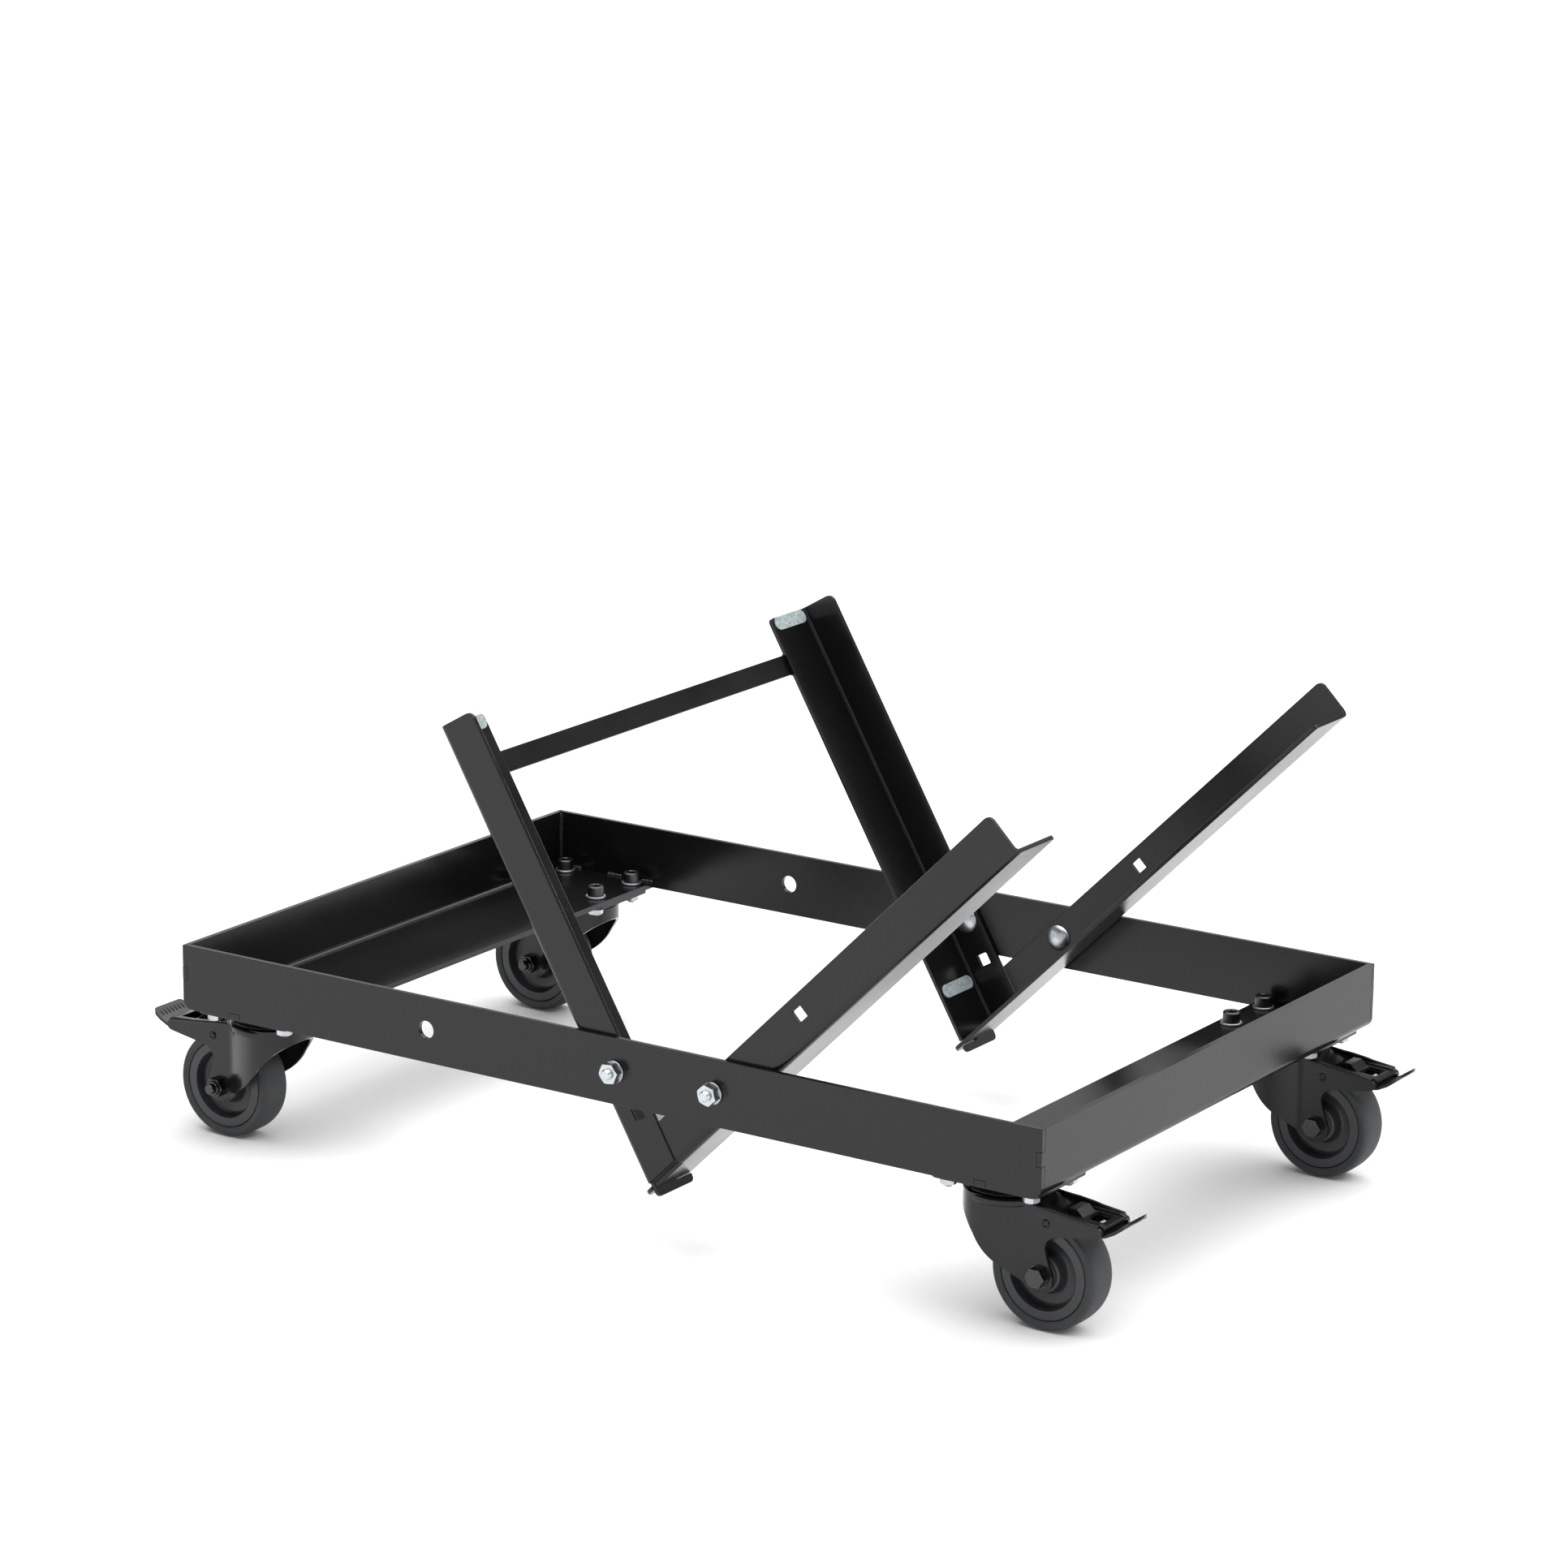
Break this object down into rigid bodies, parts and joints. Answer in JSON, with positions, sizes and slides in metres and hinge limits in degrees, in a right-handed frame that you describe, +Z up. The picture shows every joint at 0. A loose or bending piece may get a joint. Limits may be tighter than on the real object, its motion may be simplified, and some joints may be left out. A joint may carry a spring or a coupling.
{
  "type": "rolling utility cart",
  "caption": "Low steel frame with two bolted V cradles for a long load, on swivel castors with brakes.",
  "frame": {"origin": "on the floor, under the middle of the frame", "axes": "+X along the frame towards the end the seat arms lean to, +Y across it to the rear, +Z up"},
  "size_m": [1.032, 0.609, 0.4496],
  "materials": {
    "powder_coat": "semi-gloss black powder coat",
    "zinc": "bright zinc plate",
    "black_oxide": "black oxide",
    "castor_enamel": "glossy black enamel",
    "tyre": "satin dark grey rubber",
    "nylon": "satin black moulded plastic",
    "felt": "matt grey felt"
  },
  "bodies": {
    "frame": {"side_plate_front": "powder_coat", "side_plate_rear": "powder_coat", "end_angle_left": "powder_coat", "end_angle_right": "powder_coat", "back_arm_front": "powder_coat", "seat_arm_front": "powder_coat", "pad_top_front": "felt", "pad_low_front": "felt", "back_arm_bolt_front": "zinc", "seat_arm_bolt_front": "zinc", "back_arm_rear": "powder_coat", "seat_arm_rear": "powder_coat", "pad_top_rear": "felt", "pad_low_rear": "felt", "back_arm_bolt_rear": "zinc", "seat_arm_bolt_rear": "zinc", "crossbar": "powder_coat", "castor_plate_front_left": "castor_enamel", "screw_front_left_1": "black_oxide", "screw_front_left_2": "black_oxide", "screw_front_left_3": "black_oxide", "screw_front_left_4": "black_oxide", "castor_plate_front_right": "castor_enamel", "screw_front_right_1": "black_oxide", "screw_front_right_2": "black_oxide", "screw_front_right_3": "black_oxide", "screw_front_right_4": "black_oxide", "castor_plate_rear_right": "castor_enamel", "screw_rear_right_1": "black_oxide", "screw_rear_right_2": "black_oxide", "screw_rear_right_3": "black_oxide", "screw_rear_right_4": "black_oxide", "castor_plate_rear_left": "castor_enamel", "screw_rear_left_1": "black_oxide", "screw_rear_left_2": "black_oxide", "screw_rear_left_3": "black_oxide", "screw_rear_left_4": "black_oxide"},
    "swivel_front_left": {"fork_front_left": "castor_enamel", "axle_front_left": "black_oxide"},
    "pedal_front_left": {"pedal_front_left": "castor_enamel"},
    "wheel_front_left": {"tyre_front_left": "tyre", "rim_front_left": "nylon"},
    "swivel_front_right": {"fork_front_right": "castor_enamel", "axle_front_right": "black_oxide"},
    "pedal_front_right": {"pedal_front_right": "castor_enamel"},
    "wheel_front_right": {"tyre_front_right": "tyre", "rim_front_right": "nylon"},
    "swivel_rear_right": {"fork_rear_right": "castor_enamel", "axle_rear_right": "black_oxide"},
    "pedal_rear_right": {"pedal_rear_right": "castor_enamel"},
    "wheel_rear_right": {"tyre_rear_right": "tyre", "rim_rear_right": "nylon"},
    "swivel_rear_left": {"fork_rear_left": "castor_enamel", "axle_rear_left": "black_oxide"},
    "pedal_rear_left": {"pedal_rear_left": "castor_enamel"},
    "wheel_rear_left": {"tyre_rear_left": "tyre", "rim_rear_left": "nylon"}
  },
  "joints": [
    {"name": "swivel_front_left", "type": "hinge", "parent": "frame", "child": "swivel_front_left", "pos_m": [-0.392, -0.24, 0.115], "axis": [0, 0, 1], "continuous": true},
    {"name": "wheel_front_left", "type": "hinge", "parent": "swivel_front_left", "child": "wheel_front_left", "pos_m": [-0.436, -0.24, 0.05], "axis": [0, 1, 0], "continuous": true},
    {"name": "pedal_front_left", "type": "hinge", "parent": "swivel_front_left", "child": "pedal_front_left", "pos_m": [-0.442, -0.24, 0.0975], "axis": [0, -1, 0], "range_deg": [0, 6]},
    {"name": "swivel_front_right", "type": "hinge", "parent": "frame", "child": "swivel_front_right", "pos_m": [0.392, -0.24, 0.115], "axis": [0, 0, 1], "continuous": true},
    {"name": "wheel_front_right", "type": "hinge", "parent": "swivel_front_right", "child": "wheel_front_right", "pos_m": [0.436, -0.24, 0.05], "axis": [0, 1, 0], "continuous": true},
    {"name": "pedal_front_right", "type": "hinge", "parent": "swivel_front_right", "child": "pedal_front_right", "pos_m": [0.442, -0.24, 0.0975], "axis": [0, 1, 0], "range_deg": [0, 6]},
    {"name": "swivel_rear_right", "type": "hinge", "parent": "frame", "child": "swivel_rear_right", "pos_m": [0.392, 0.24, 0.115], "axis": [0, 0, 1], "continuous": true},
    {"name": "wheel_rear_right", "type": "hinge", "parent": "swivel_rear_right", "child": "wheel_rear_right", "pos_m": [0.436, 0.24, 0.05], "axis": [0, 1, 0], "continuous": true},
    {"name": "pedal_rear_right", "type": "hinge", "parent": "swivel_rear_right", "child": "pedal_rear_right", "pos_m": [0.442, 0.24, 0.0975], "axis": [0, 1, 0], "range_deg": [0, 6]},
    {"name": "swivel_rear_left", "type": "hinge", "parent": "frame", "child": "swivel_rear_left", "pos_m": [-0.392, 0.24, 0.115], "axis": [0, 0, 1], "continuous": true},
    {"name": "wheel_rear_left", "type": "hinge", "parent": "swivel_rear_left", "child": "wheel_rear_left", "pos_m": [-0.436, 0.24, 0.05], "axis": [0, 1, 0], "continuous": true},
    {"name": "pedal_rear_left", "type": "hinge", "parent": "swivel_rear_left", "child": "pedal_rear_left", "pos_m": [-0.442, 0.24, 0.0975], "axis": [0, -1, 0], "range_deg": [0, 6]}
  ]
}
